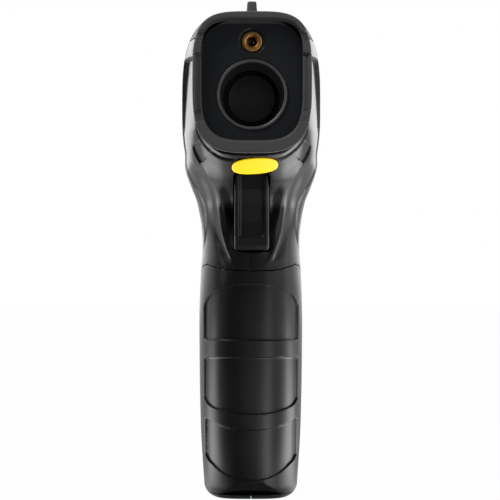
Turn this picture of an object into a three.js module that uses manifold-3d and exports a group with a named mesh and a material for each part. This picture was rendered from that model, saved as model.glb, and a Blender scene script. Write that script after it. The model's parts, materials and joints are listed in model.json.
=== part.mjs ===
import * as THREE from 'three';
import { mergeVertices } from 'three/addons/utils/BufferGeometryUtils.js';
import Module from 'manifold-3d';

// Hand-held infrared thermometer in the shape of a pistol.
// Millimetres, +Z up, the lens looks along -Y, and the grip stands on Z = 0.
// Left and right are the operator's, who looks along -Y, so left is +X.

// Head, neck and grip
const HEAD_FRONT_Y = -46.5;
const HEAD_WALL = 2;
const HEAD_TOP_WALL = 4;
const GRIP_WALL = 2;
const PIECE_GAP = 0.3;
const SHELL_SPLIT_GAP = 0.3;
const REAR_FACE_TILT = THREE.MathUtils.degToRad(18.1);
const REAR_FACE_CENTRE = [42.7, 138];
const SIDE_STEP = 1.7;

// Front of the head
const BEZEL_FRONT_Y = -50;
const BEZEL_BACK_Y = -46.8;
const BEZEL_HALF_WIDTH = 18.8;
const BEZEL_LOW_Z = 113.4;
const BEZEL_HIGH_Z = 157.9;
const BEZEL_OPENING_HALF_WIDTH = 15.5;
const PANEL_FRONT_Y = -44.2;
const PANEL_THICKNESS = 1.8;

// Infrared optics and aiming laser
const OPTICS_Z = 132;
const APERTURE_RADIUS = 10.1;
const TUBE_RADIUS = 11.2;
const TUBE_FRONT_Y = -44.9;
const TUBE_BACK_Y = -14;
const LENS_RADIUS = 9;
const LASER_Z = 148.8;
const LASER_RADIUS = 3.2;
const LASER_HOLE_RADIUS = 1.4;
const LASER_LENGTH = 17;

// Trigger and its switch
const TRIGGER_WIDTH = 11.2;
const TRIGGER_PIVOT = [-23.5, 108.2];
const TRIGGER_PIN_RADIUS = 1.25;
const TRIGGER_SLOT_HALF_WIDTH = 6;
const SPRING_RADIUS = 2.3;
const SPRING_WIRE_RADIUS = 0.32;
const SPRING_TURNS = 6;
const SPRING_Z = 89;

// Battery and door
const HINGE_CENTRE = [-0.9, 6.2];
const HINGE_PIN_RADIUS = 0.9;
const HINGE_PIN_LENGTH = 10.4;
const DOOR_FOOT_RADIUS = 4.4;
const EAR_RADIUS = 1.7;
const BASE_THICKNESS = 1.5;
const BATTERY = [26.5, 17.5, 46.4];
const BATTERY_TILT = THREE.MathUtils.degToRad(10.5);
const BATTERY_FOOT = [12.6, 13.8];
const PANEL_RECESS = 0.6;

// Screws that hold the two shells together, as [y, z]
const SCREWS = [[-38.5, 113.6], [14, 149], [17.5, 97], [24, 64], [29.5, 22]];
const SCREW_RADIUS = 1.1;
const SCREW_HEAD_RADIUS = 2.2;
const SCREW_HEAD_X = -9;
const SCREW_END_X = 8;

// Head stations along Y: y, half width, low z, high z, lower power, upper power
const HEAD = [
  [-46.5, 18.8, 112.2, 157.9, 3.8, 3.8],
  [-43, 19.4, 109.8, 158.3, 3.9, 3.8],
  [-39, 20.1, 107.0, 158.6, 4.0, 3.7],
  [-32, 21.0, 103.6, 159.1, 3.8, 3.6],
  [-24, 21.9, 101.4, 159.6, 3.4, 3.5],
  [-14, 22.6, 100.0, 160.0, 3.1, 3.4],
  [-2, 22.9, 99.4, 160.4, 2.9, 3.4],
  [12, 22.9, 100.0, 160.7, 2.9, 3.4],
  [24, 22.7, 102.6, 160.9, 3.0, 3.5],
  [34, 22.3, 107.0, 161.0, 3.2, 3.7],
  [42, 21.8, 111.6, 161.0, 3.4, 4.0],
  [54, 21.0, 118.0, 160.6, 3.6, 4.2],
];

// Neck and grip stations along Z: z, half width, front y, rear y, power
const GRIP = [
  [0, 12.4, -1.2, 34.2, 2.8],
  [0.7, 13.8, -2.9, 35.8, 2.8],
  [2.2, 14.9, -4.4, 37.2, 2.9],
  [5, 15.6, -5.3, 38.0, 3.0],
  [10, 16.1, -5.6, 37.8, 3.0],
  [20, 16.7, -6.6, 36.4, 3.0],
  [35, 17.1, -9.2, 34.6, 3.0],
  [50, 17.25, -12.4, 33.4, 3.0],
  [62, 17.25, -15.0, 32.8, 3.0],
  [71, 17.0, -16.6, 31.8, 3.0],
  [78, 16.6, -17.2, 30.2, 3.0],
  [85, 16.2, -18.2, 28.4, 2.9],
  [92, 16.7, -20.6, 27.6, 2.8],
  [98, 17.8, -24.0, 28.6, 2.7],
  [104, 19.4, -30.0, 33.0, 2.6],
  [110, 20.6, -33.0, 38.0, 2.6],
  [116, 20.6, -33.0, 38.0, 2.6],
];

const wasm = await Module();
wasm.setup();

function solid(geometry) {
  const copy = geometry.clone();
  copy.deleteAttribute('normal');
  copy.deleteAttribute('uv');
  const merged = mergeVertices(copy, 1e-5);
  return new wasm.Manifold(new wasm.Mesh({
    numProp: 3,
    vertProperties: new Float32Array(merged.attributes.position.array),
    triVerts: new Uint32Array(merged.index.array),
  }));
}

function geometryOf(body) {
  const mesh = body.getMesh();
  const geometry = new THREE.BufferGeometry();
  const positions = [];
  for (let i = 0; i < mesh.vertProperties.length; i += mesh.numProp) {
    positions.push(
      mesh.vertProperties[i],
      mesh.vertProperties[i + 1],
      mesh.vertProperties[i + 2],
    );
  }
  geometry.setAttribute('position', new THREE.Float32BufferAttribute(positions, 3));
  geometry.setIndex(Array.from(mesh.triVerts));
  return geometry;
}

// Skin stretched over rings of points, with a flat cap on each end.
function loft(rings) {
  const count = rings[0].length;
  const positions = [];
  const faces = [];
  for (const points of rings) {
    for (const point of points) {
      positions.push(...point);
    }
  }
  for (let r = 0; r + 1 < rings.length; r += 1) {
    for (let i = 0; i < count; i += 1) {
      const j = (i + 1) % count;
      const a = r * count + i;
      const b = r * count + j;
      faces.push(a, b, b + count, a, b + count, a + count);
    }
  }
  for (const end of [0, rings.length - 1]) {
    const centre = positions.length / 3;
    const sum = [0, 0, 0];
    for (const point of rings[end]) {
      sum[0] += point[0] / count;
      sum[1] += point[1] / count;
      sum[2] += point[2] / count;
    }
    positions.push(...sum);
    for (let i = 0; i < count; i += 1) {
      const j = (i + 1) % count;
      const a = end * count + i;
      const b = end * count + j;
      if (end === 0) {
        faces.push(centre, b, a);
      } else {
        faces.push(centre, a, b);
      }
    }
  }
  const geometry = new THREE.BufferGeometry();
  geometry.setAttribute('position', new THREE.Float32BufferAttribute(positions, 3));
  geometry.setIndex(faces);
  return geometry;
}

// Rounded outline between a low and a high limit, squarer for a larger power.
function outline(halfWidth, low, high, lowPower, highPower, count) {
  const middle = (low + high) / 2;
  const half = (high - low) / 2;
  const points = [];
  for (let i = 0; i < count; i += 1) {
    const angle = (2 * Math.PI * (i + 0.5)) / count;
    const c = Math.cos(angle);
    const s = Math.sin(angle);
    const power = s > 0 ? highPower : lowPower;
    const reach = (Math.abs(c / halfWidth) ** power + Math.abs(s / half) ** power) ** (-1 / power);
    points.push([reach * c, middle + reach * s]);
  }
  return points;
}

// Head body, shrunk by an inset all round and by more at the top or the sides.
function headBody(inset, topInset = inset, sideInset = inset, count = 28) {
  const rings = HEAD.map(([y, halfWidth, low, high, lowPower, highPower]) => {
    const points = outline(
      halfWidth - sideInset,
      low + inset,
      high - topInset,
      lowPower,
      highPower,
      count,
    );
    return points.map(([x, z]) => [x, y, z]);
  });
  return solid(loft(rings.map((points) => points.slice().reverse())));
}

// Neck and grip body, shrunk by an inset all round.
function gripBody(inset, count = 28) {
  const rings = GRIP.map(([z, halfWidth, front, rear, power]) => {
        const points = outline(halfWidth - inset, front + inset, rear - inset, power, power, count);
    return points.map(([x, y]) => [x, y, z]);
  });
  return solid(loft(rings));
}

function box(x0, x1, y0, y1, z0, z1) {
  const geometry = new THREE.BoxGeometry(x1 - x0, y1 - y0, z1 - z0);
  geometry.translate((x0 + x1) / 2, (y0 + y1) / 2, (z0 + z1) / 2);
  return geometry;
}

function extruded(points, depth) {
  const shape = new THREE.Shape(points.map(([a, b]) => new THREE.Vector2(a, b)));
  return new THREE.ExtrudeGeometry(shape, { depth, bevelEnabled: false });
}

// Prism whose outline is given in Y and Z, running from x0 to x1.
function sidePrism(points, x0, x1) {
  const geometry = extruded(points, x1 - x0);
  const turn = new THREE.Matrix4().makeBasis(
    new THREE.Vector3(0, 1, 0),
    new THREE.Vector3(0, 0, 1),
    new THREE.Vector3(1, 0, 0),
  );
  geometry.applyMatrix4(turn);
  geometry.translate(x0, 0, 0);
  return geometry;
}

// Prism whose outline is given in X and Z, running from y0 to y1.
function frontPrism(points, y0, y1) {
  const geometry = extruded(points, y1 - y0);
  geometry.rotateX(Math.PI / 2);
  geometry.translate(0, y1, 0);
  return geometry;
}

function cylinder(axis, radius, from, to, centre, segments = 24) {
  const geometry = new THREE.CylinderGeometry(radius, radius, to - from, segments);
  if (axis === 'x') {
    geometry.rotateZ(-Math.PI / 2);
    geometry.translate((from + to) / 2, centre[0], centre[1]);
  } else if (axis === 'y') {
    geometry.translate(centre[0], (from + to) / 2, centre[1]);
  } else {
    geometry.rotateX(Math.PI / 2);
    geometry.translate(centre[0], centre[1], (from + to) / 2);
  }
  return geometry;
}

// Turned piece about a line along Y: points are [radius, y].
function turnedAlongY(points, z, segments = 36) {
  const profile = points.map(([radius, y]) => new THREE.Vector2(radius, y));
  const geometry = new THREE.LatheGeometry(profile, segments);
  geometry.translate(0, 0, z);
  return geometry;
}

function roundedRectangle(halfWidth, halfHeight, radius, steps = 4) {
  const points = [];
  const corners = [[1, 1, 0], [-1, 1, 1], [-1, -1, 2], [1, -1, 3]];
  for (const [sx, sy, quarter] of corners) {
    for (let i = 0; i <= steps; i += 1) {
      const angle = ((quarter + i / steps) * Math.PI) / 2;
      points.push([
        sx * (halfWidth - radius) + radius * Math.cos(angle),
        sy * (halfHeight - radius) + radius * Math.sin(angle),
      ]);
    }
  }
  return points;
}

function shifted(points, du, dv) {
  return points.map(([u, v]) => [u + du, v + dv]);
}

// The rear face leans forward at the top.
// Its own frame has X across, Y out of the face and Z up the face.
function onRearFace(geometry) {
  geometry.rotateX(REAR_FACE_TILT);
  geometry.translate(0, REAR_FACE_CENTRE[0], REAR_FACE_CENTRE[1]);
  return geometry;
}

// The battery and what sits on it lean with the grip.
function inBatteryFrame(geometry) {
  geometry.rotateX(BATTERY_TILT);
  geometry.translate(0, BATTERY_FOOT[0], BATTERY_FOOT[1]);
  return geometry;
}

const part = new THREE.Group();
part.name = 'infrared_thermometer';

function add(name, shape, color, roughness, metalness = 0) {
  const geometry = shape.isBufferGeometry ? shape : geometryOf(shape);
  const material = new THREE.MeshStandardMaterial({ color, roughness, metalness });
  const mesh = new THREE.Mesh(geometry, material);
  mesh.name = name;
  part.add(mesh);
}

const GLOSS_BLACK = 0x17181a;
const MATTE_GREY = 0x3a3b3d;
const SOFT_BLACK = 0x202123;

// ---------------------------------------------------------------- housing shells

const headOuter = headBody(0);
const gripOuter = gripBody(0);
const behindRearFace = solid(onRearFace(box(-40, 40, 0, 40, -60, 60)));
const behindRearWall = solid(onRearFace(box(-40, 40, -2.4, 40, -60, 60)));

let housing = headOuter.add(gripOuter).subtract(behindRearFace);

// The front of the head and neck is narrower than the rear, with a step between them.
const stepLine = [
  [-60, 90], [2, 78], [0, 90], [-3, 100], [-8, 112], [-12, 124], [-15, 146], [-24, 150], [-60, 150],
];
const narrowHead = headBody(-1, -1, SIDE_STEP);
const narrowNeck = solid(loft(GRIP.map(([z, halfWidth, front, rear, power]) => {
  const slim = z > 80 ? Math.min(1.3, (z - 80) / 8) : 0;
  const points = outline(halfWidth - slim, front - 1, rear + 1, power, power, 28);
  return points.map(([x, y]) => [x, y, z]);
})));
const narrowFront = narrowHead.add(narrowNeck);
housing = housing.subtract(solid(sidePrism(stepLine, -40, 40)).subtract(narrowFront));

// Inside of the housing: wall thickness all round, thicker at the top and around the trigger.
const headInner = headBody(HEAD_WALL, HEAD_TOP_WALL, HEAD_WALL + SIDE_STEP, 24)
  .subtract(behindRearWall);
const gripInner = solid(loft(GRIP.map(([z, halfWidth, front, rear, power]) => {
  const bodyZ = z < 3 ? BASE_THICKNESS : z;
  const wall = z > 80 ? GRIP_WALL + 1.3 : GRIP_WALL;
  const frontWall = z > 73 ? 9 : GRIP_WALL;
  const points = outline(halfWidth - wall, front + frontWall, rear - GRIP_WALL, power, power, 28);
  return points.map(([x, y]) => [x, y, bodyZ]);
}).slice(2)));
const frontMouth = solid(frontPrism(outline(17.1, 115, 155.6, 3.2, 3.8, 28), -60, HEAD_FRONT_Y + 5));
housing = housing.subtract(headInner).subtract(gripInner).subtract(frontMouth);

// Battery bay: floor, back wall and the two ears that carry the door hinge.
let bayFront = solid(box(-5.6, 5.6, -2.6, 9, 10.6, 12)).add(solid(box(-9, 9, 0.5, 9, 10.6, 12)));
for (const x of [-5.4, 3.2]) {
  bayFront = bayFront
    .add(solid(box(x, x + 2.2, -2.6, 0.8, 6.2, 11.4)))
    .add(solid(cylinder('x', EAR_RADIUS, x, x + 2.2, HINGE_CENTRE)));
}
bayFront = bayFront.intersect(gripBody(GRIP_WALL + PIECE_GAP + 0.05));
const bayRear = solid(box(-15, 15, 8.4, 34, 10.6, 12))
  .add(solid(inBatteryFrame(box(-16, 16, 9.6, 11.2, -2.6, 56))));
const insideBody = headBody(1).add(gripBody(1)).subtract(solid(onRearFace(box(-40, 40, -1, 40, -60, 60))));

// Bosses for the screws, each in two halves that meet at the split.
let bosses = solid(cylinder('x', 2.9, -26, 26, SCREWS[0], 14));
for (const centre of SCREWS.slice(1)) {
  bosses = bosses.add(solid(cylinder('x', 2.9, -26, 26, centre, 14)));
}

// Two ribs inside the neck hold the ends of the trigger pin.
const pinBosses = solid(box(6.3, 8.5, -27, -20, 104, 111.5))
  .add(solid(box(-8.5, -6.3, -27, -20, 104, 111.5)))
  .add(solid(box(8, 24, -24.6, -22.4, 104, 111.5)))
  .add(solid(box(-24, -8, -24.6, -22.4, 104, 111.5)));

// Post that the trigger spring pushes against, on a wall across the neck.
const springWall = solid(box(-20, 20, -8, -6.4, 84.5, 93.5))
  .add(solid(cylinder('y', 1.5, -10.2, -7, [0, SPRING_Z], 12)));

housing = housing.add(bayRear.add(bosses).add(pinBosses).add(springWall).intersect(insideBody));

// Door opening: the front half of the grip.
const doorSide = [
  [-40, 1.8], [6.2, 1.8], [7.6, 5.6], [5.6, 40], [5.6, 73.4], [0.4, 75], [-5.4, 77.4],
  [-10, 78], [-13.6, 77.2], [-17.2, 75.9], [-40, 75.9],
];
const doorOpening = [
  [-40, 1.5], [6.4, 1.5], [7.9, 5.5], [5.9, 40], [5.9, 73.6], [0.5, 75.3], [-5.4, 77.7],
  [-10, 78.3], [-13.6, 77.5], [-17.2, 76.2], [-40, 76.2],
];
const gripSkin = gripBody(-0.5).subtract(gripBody(GRIP_WALL + PIECE_GAP));
housing = housing.subtract(solid(sidePrism(doorOpening, -40, 40)).intersect(gripSkin));
housing = housing.add(bayFront);
housing = housing.subtract(solid(cylinder('x', HINGE_PIN_RADIUS + 0.06, -9, 9, HINGE_CENTRE, 24)));

// Trigger slot, and the finger pocket round it.
housing = housing.subtract(
  solid(box(-TRIGGER_SLOT_HALF_WIDTH, TRIGGER_SLOT_HALF_WIDTH, -60, -7.9, 82.3, 111.9))
    .subtract(solid(cylinder('y', 1.5, -10.2, -7, [0, SPRING_Z], 12))),
);
const pocketOutline = [
  [-14.4, 106.4], [-12.6, 98], [-11.6, 92], [-8.2, 86], [-6.6, 81.6], [6.6, 81.6],
  [8.2, 86], [11.6, 92], [12.6, 98], [14.4, 106.4],
];
const pocket = solid(frontPrism(pocketOutline, -60, 0))
  .intersect(gripBody(-1).subtract(gripBody(1.6)));
housing = housing.subtract(pocket.subtract(solid(box(-40, 40, -9, 60, 0, 200))));
housing = housing.subtract(solid(cylinder('x', TRIGGER_PIN_RADIUS + 0.06, -10, 10, TRIGGER_PIVOT, 24)));

// Recess for the top cover, and the opening in the rear face.
const coverSide = [[-60, 149.4], [-24, 150.4], [30, 152.6], [33, 156], [33, 175], [-60, 175]];
const coverRecess = [[-60, 149.1], [-24, 150.1], [30.2, 152.3], [33.3, 155.8], [33.3, 175], [-60, 175]];
const coverSkin = headBody(-1).subtract(headBody(1.5));
const recessSkin = headBody(-1).subtract(headBody(1.8));
housing = housing.subtract(solid(sidePrism(coverRecess, -40, 40)).intersect(recessSkin));
const rearOpening = roundedRectangle(17.8, 20.8, 4);
const rearOpeningTool = frontPrism(rearOpening, -6, 6);
housing = housing.subtract(solid(onRearFace(rearOpeningTool)));

// Slanted gills high on each side of the head.
for (const side of [-1, 1]) {
  for (let i = 0; i < 3; i += 1) {
    const y = -32 + i * 4.2;
    const gill = box(-1.2, 1.2, -0.8, 0.8, -2.4, 2.4);
    gill.rotateX(-0.5);
    gill.translate(side * 21, y, 145.4);
    housing = housing.subtract(solid(gill));
  }
}

// Screw holes: clearance and head room on the right, pilot hole on the left.
for (const centre of SCREWS) {
  housing = housing.subtract(solid(cylinder('x', 2.5, -30, SCREW_HEAD_X, centre, 16)));
  housing = housing.subtract(solid(cylinder('x', SCREW_RADIUS + 0.2, -10, 0, centre, 12)));
  housing = housing.subtract(solid(cylinder('x', SCREW_RADIUS + 0.1, -1, SCREW_END_X + 0.6, centre, 12)));
}

const halfGap = SHELL_SPLIT_GAP / 2;
add('left_shell', housing.intersect(solid(box(halfGap, 60, -90, 90, -10, 200))), GLOSS_BLACK, 0.3);
add('right_shell', housing.intersect(solid(box(-60, -halfGap, -90, 90, -10, 200))), GLOSS_BLACK, 0.3);

// ---------------------------------------------------------------- front of the head

// Rounded block along Y: each station is [y, half width, low z, high z].
function frontBlock(stations, lowPower = 3.2, highPower = 3.8) {
  return solid(loft(stations.map(([y, halfWidth, low, high]) => {
    const points = outline(halfWidth, low, high, lowPower, highPower, 36);
    return points.map(([x, z]) => [x, y, z]).reverse();
  })));
}

const bezelOuter = frontBlock([
  [BEZEL_FRONT_Y, BEZEL_HALF_WIDTH - 0.9, BEZEL_LOW_Z + 0.9, BEZEL_HIGH_Z - 0.9],
  [BEZEL_FRONT_Y + 0.9, BEZEL_HALF_WIDTH, BEZEL_LOW_Z, BEZEL_HIGH_Z],
  [BEZEL_BACK_Y, BEZEL_HALF_WIDTH, BEZEL_LOW_Z, BEZEL_HIGH_Z],
]);
const bezelSkirt = frontBlock([
  [-48, 16.8, 115.4, 155.2],
  [PANEL_FRONT_Y - 0.2, 16.8, 115.4, 155.2],
]);
const bezelHole = frontBlock([
  [-50.5, BEZEL_OPENING_HALF_WIDTH + 0.1, 116.8, 155.0],
  [-44, BEZEL_OPENING_HALF_WIDTH - 0.9, 117.6, 154.0],
], 3.4, 4);
const sideNotch = solid(box(-30, -15.2, -60, -49.2, 122.6, 148))
  .add(solid(box(15.2, 30, -60, -49.2, 122.6, 148)));
add(
  'front_bezel',
  bezelOuter.add(bezelSkirt).subtract(bezelHole).subtract(sideNotch),
  MATTE_GREY,
  0.6,
);

const laserCountersink = [[0, -46], [4.7, -46], [4.1, PANEL_FRONT_Y], [3.5, -43.4], [0, -43.4]];
const panel = frontBlock([
  [PANEL_FRONT_Y, 16.7, 115.5, 155.1],
  [PANEL_FRONT_Y + PANEL_THICKNESS, 16.7, 115.5, 155.1],
])
  .subtract(solid(cylinder('y', TUBE_RADIUS + 0.3, -60, -30, [0, OPTICS_Z], 36)))
  .subtract(solid(cylinder('y', LASER_RADIUS + PIECE_GAP, -60, -30, [0, LASER_Z], 24)))
  .subtract(solid(turnedAlongY(laserCountersink, LASER_Z, 24)));
add('front_panel', panel, 0x0f1012, 0.08);

// ---------------------------------------------------------------- optics

const tubeProfile = [
  [APERTURE_RADIUS, TUBE_FRONT_Y + 0.3], [APERTURE_RADIUS + 0.4, TUBE_FRONT_Y],
  [TUBE_RADIUS - 0.2, TUBE_FRONT_Y], [TUBE_RADIUS, TUBE_FRONT_Y + 0.3], [TUBE_RADIUS, -41.6],
  [12.2, -41.6], [12.2, -40], [TUBE_RADIUS, -40], [TUBE_RADIUS, TUBE_BACK_Y],
  [7.4, TUBE_BACK_Y], [7.4, -17.8], [9.3, -17.8], [9.3, -24], [APERTURE_RADIUS, -24],
  [APERTURE_RADIUS, TUBE_FRONT_Y + 0.3],
];
add('lens_tube', turnedAlongY(tubeProfile, OPTICS_Z, 32), 0x111112, 0.5);
add(
  'lens_ring',
  turnedAlongY([[7.6, -22.6], [9.1, -22.6], [9.1, -21], [7.6, -21], [7.6, -22.6]], OPTICS_Z, 32),
  0x141415,
  0.35,
);
add(
  'infrared_lens',
  turnedAlongY([
    [0, -20.8], [2.4, -20.75], [5, -20.6], [7.4, -20.3], [LENS_RADIUS, -20.05], [LENS_RADIUS, -18.9],
    [0, -18.5],
  ], OPTICS_Z, 36),
  0x16181c,
  0.1,
);
add(
  'thermopile_sensor',
  turnedAlongY([
    [0, -3.6], [4.1, -3.6], [4.1, -0.1], [4.6, -0.1], [4.6, 0.5], [0, 0.5],
  ], OPTICS_Z, 28),
  0xb8b4a4,
  0.3,
  0.9,
);
add(
  'sensor_board',
  solid(box(-10, 10, 0.8, 2.2, OPTICS_Z - 10, OPTICS_Z + 10)),
  0x1f5a35,
  0.5,
);

// Aiming laser: brass barrel with its lens, held in a block.
const laserFront = -43.9;
add(
  'laser_module',
  turnedAlongY([
    [LASER_HOLE_RADIUS, laserFront + 0.5], [2, laserFront], [LASER_RADIUS - 0.2, laserFront],
    [LASER_RADIUS, laserFront + 0.3], [LASER_RADIUS, laserFront + LASER_LENGTH],
    [0, laserFront + LASER_LENGTH], [0, laserFront + 6], [LASER_HOLE_RADIUS, laserFront + 6],
    [LASER_HOLE_RADIUS, laserFront + 0.5],
  ], LASER_Z, 28),
  0xb88a3c,
  0.3,
  1,
);
add(
  'laser_lens',
  turnedAlongY([
    [0, laserFront + 2.6], [1.2, laserFront + 2.9], [1.2, laserFront + 3.8], [0, laserFront + 3.8],
  ], LASER_Z, 20),
  0x40262a,
  0.05,
);
add(
  'laser_holder',
  solid(box(-6, 6, -40.8, -30, LASER_Z - 4.2, LASER_Z + 4.4))
    .subtract(solid(cylinder('y', LASER_RADIUS + 0.2, -60, 0, [0, LASER_Z], 28))),
  SOFT_BLACK,
  0.5,
);

// ---------------------------------------------------------------- top cover with the sight

// [z, half width, front y, rear y]
const sightRings = [
  [158.2, 1.9, -38.6, -25], [160.4, 1.6, -38, -28], [161.7, 1.45, -37.4, -30], [162.2, 1.05, -36.9, -31],
];
const sight = solid(loft(sightRings.map(([z, halfWidth, front, rear]) => [
  [-halfWidth, front, z], [halfWidth, front, z], [halfWidth, rear, z], [-halfWidth, rear, z],
])));
const topCover = solid(sidePrism(coverSide, -40, 40))
  .intersect(coverSkin.intersect(headBody(0)))
  .intersect(solid(box(-40, 40, HEAD_FRONT_Y, 60, 100, 200)))
  .add(sight);
add('top_cover', topCover, MATTE_GREY, 0.6);

// ---------------------------------------------------------------- rear display and buttons

const facePrism = (points, w0, w1) => onRearFace(frontPrism(points, w0, w1));
const windowOutline = shifted(roundedRectangle(14.5, 11, 2), 0, 7.2);
const windowRecess = shifted(roundedRectangle(14.8, 11.3, 2.1), 0, 7.2);
const windowHole = shifted(roundedRectangle(13, 9.4, 1.2), 0, 7.2);
const BUTTON_U = [-10.4, 0, 10.4];
const BUTTON_V = -12.6;
let rearBezel = solid(facePrism(roundedRectangle(17.5, 20.5, 3.8), -2, 0.6))
  .subtract(solid(facePrism(windowRecess, -0.8, 2)))
  .subtract(solid(facePrism(windowHole, -3, 2)));
for (const u of BUTTON_U) {
  rearBezel = rearBezel.subtract(
    solid(facePrism(shifted(roundedRectangle(4.3, 3.3, 1.7), u, BUTTON_V), -3, 2)),
  );
}
add('rear_bezel', rearBezel, MATTE_GREY, 0.5);
add('display_window', facePrism(windowOutline, -0.6, 0.5), 0x2a3034, 0.05);
add('lcd', facePrism(shifted(roundedRectangle(13.5, 10, 0.5, 1), 0, 7.2), -4.2, -2.3), 0x9fa88e, 0.2);
add(
  'backlight',
  facePrism(shifted(roundedRectangle(13.8, 10.4, 0.5, 1), 0, 7.2), -6.2, -4.5),
  0xe8e8e0,
  0.4,
);
add('main_board', facePrism(roundedRectangle(14.2, 17.6, 1.5, 2), -8.2, -6.6), 0x1f5a35, 0.5);
const BUTTON_NAMES = ['laser_button', 'mode_button', 'unit_button'];
BUTTON_U.forEach((u, i) => {
  const cap = solid(facePrism(shifted(roundedRectangle(4.0, 3.0, 1.5), u, BUTTON_V), -2.4, 1.4))
    .add(solid(facePrism(shifted(roundedRectangle(4.9, 3.9, 1.9), u, BUTTON_V), -3.2, -2.3)));
  add(BUTTON_NAMES[i], cap, 0x2c2d2f, 0.55);
  add(
    `key_switch_${i + 1}`,
    facePrism(shifted(roundedRectangle(2.4, 2.4, 0.4, 1), u, BUTTON_V), -6.3, -4.2),
    0x77797c,
    0.35,
    0.6,
  );
});
add(
  'buzzer',
  onRearFace(cylinder('y', 5.8, -13.4, -8.5, [0, -6], 28)),
  0x1a1a1b,
  0.45,
);

// ---------------------------------------------------------------- trigger

const triggerSide = [
  [-31.2, 109.4], [-32.4, 106.6], [-31.2, 102.4], [-29, 97.4], [-27, 92], [-26, 87.4], [-26.6, 84.4],
  [-26, 83], [-23.6, 82.9], [-20.6, 84], [-18.6, 88], [-17.6, 94], [-17.4, 104], [-18.6, 109.6],
  [-21.4, 111.5], [-27, 111.5],
];
const halfTrigger = TRIGGER_WIDTH / 2;
const springPeg = solid(cylinder('y', 1.4, -22.5, -19.6, [0, SPRING_Z], 16));
const triggerHollow = solid(box(-3.4, 3.4, -22.4, -10, 84, 100)).subtract(springPeg);
const trigger = solid(sidePrism(triggerSide, -halfTrigger, halfTrigger))
  .subtract(solid(cylinder('x', TRIGGER_PIN_RADIUS + 0.06, -10, 10, TRIGGER_PIVOT, 24)))
  .subtract(triggerHollow)
  .add(solid(box(-1.6, 1.6, -18, -15, 101.2, 104.2)));
add('trigger', trigger, SOFT_BLACK, 0.35);
add(
  'trigger_pin',
  cylinder('x', TRIGGER_PIN_RADIUS, -8.2, 8.2, TRIGGER_PIVOT, 24),
  0xb9bcc0,
  0.25,
  1,
);

class Helix extends THREE.Curve {
  getPoint(t, target = new THREE.Vector3()) {
    const angle = t * SPRING_TURNS * 2 * Math.PI;
    const y = -22 + t * 13.6;
    return target.set(SPRING_RADIUS * Math.cos(angle), y, SPRING_Z + SPRING_RADIUS * Math.sin(angle));
  }
}

function wire(curve, radius, steps, sides) {
  const points = [];
  for (let i = 0; i < sides; i += 1) {
    const angle = (2 * Math.PI * i) / sides;
    points.push([radius * Math.cos(angle), radius * Math.sin(angle)]);
  }
  const shape = new THREE.Shape(points.map(([a, b]) => new THREE.Vector2(a, b)));
  return new THREE.ExtrudeGeometry(shape, { steps, extrudePath: curve, bevelEnabled: false });
}

add('trigger_spring', wire(new Helix(), SPRING_WIRE_RADIUS, 66, 5), 0xb9bcc0, 0.3, 1);

// Micro switch behind the trigger, with the plunger that the trigger's nib presses.
add(
  'micro_switch',
  solid(box(-3.2, 3.2, -13.2, -6.8, 96.6, 109))
    .subtract(solid(box(-1.25, 1.25, -14, -10, 101.2, 104.2))),
  0x161617,
  0.4,
);
add('switch_plunger', box(-1, 1, -14.85, -11.4, 101.5, 103.9), 0xb3261e, 0.4);

// ---------------------------------------------------------------- battery, its connector and the door

const [batteryWidth, batteryDepth, batteryHeight] = BATTERY;
const batteryOutline = roundedRectangle(batteryWidth / 2, batteryDepth / 2, 2, 3);
add('battery', inBatteryFrame(extruded(batteryOutline, batteryHeight)), 0x8a8d90, 0.35, 0.4);

const connectorPlate = extruded(roundedRectangle(12.8, 6.3, 3, 3), 2.6);
connectorPlate.translate(0, 0, batteryHeight + 1.8);
let snapConnector = solid(inBatteryFrame(connectorPlate));
for (const x of [-6.35, 6.35]) {
  const stud = cylinder('z', 2.8, batteryHeight + 0.3, batteryHeight + 1.9, [x, 0], 16);
  snapConnector = snapConnector.add(solid(inBatteryFrame(stud)));
}
add('snap_connector', snapConnector, 0x1b1b1c, 0.6);

const leadEnds = { positive: [3.2, 0xb3261e], negative: [-3.2, 0x101011] };
for (const [name, [x, color]] of Object.entries(leadEnds)) {
  const path = new THREE.CatmullRomCurve3([
    new THREE.Vector3(x, 3.2, 65.2),
    new THREE.Vector3(x, 5.5, 70),
    new THREE.Vector3(x * 1.3, 9, 80),
    new THREE.Vector3(x * 1.3, 9.4, 96),
    new THREE.Vector3(x * 1.3, 10.6, 110),
    new THREE.Vector3(x * 1.2, 22, 119),
    new THREE.Vector3(x * 1.2, 35.6, 123.6),
  ]);
  add(`battery_lead_${name}`, wire(path, 0.7, 22, 6), color, 0.5);
}

const panels = [
  [
    [-15.6, 53.2], [15.6, 53.2], [15.6, 66.6], [12, 68.7], [7, 70.7], [0, 71.6], [-7, 70.7],
    [-12, 68.7], [-15.6, 66.6],
  ],
  [
    [-15.4, 32], [-11, 30.2], [-6, 29], [0, 28.6], [6, 29], [11, 30.2], [15.4, 32], [15.6, 36],
    [15.6, 47.5], [-15.6, 47.5], [-15.6, 36],
  ],
  [
    [-14.6, 12.2], [-11.6, 8.4], [-6.6, 5.9], [0, 5.1], [6.6, 5.9], [11.6, 8.4], [14.6, 12.2],
    [15.3, 18], [15.3, 26.9], [10, 24.6], [5, 23.6], [0, 23.3], [-5, 23.6], [-10, 24.6],
    [-15.3, 26.9], [-15.3, 18],
  ],
];
const recessSkinOfDoor = gripBody(-1).subtract(gripBody(PANEL_RECESS));
let door = gripBody(0).subtract(gripBody(GRIP_WALL)).intersect(solid(sidePrism(doorSide, -40, 40)));
for (const points of panels) {
  door = door.subtract(
    solid(frontPrism(points, -60, 3)).intersect(recessSkinOfDoor),
  );
}
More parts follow.
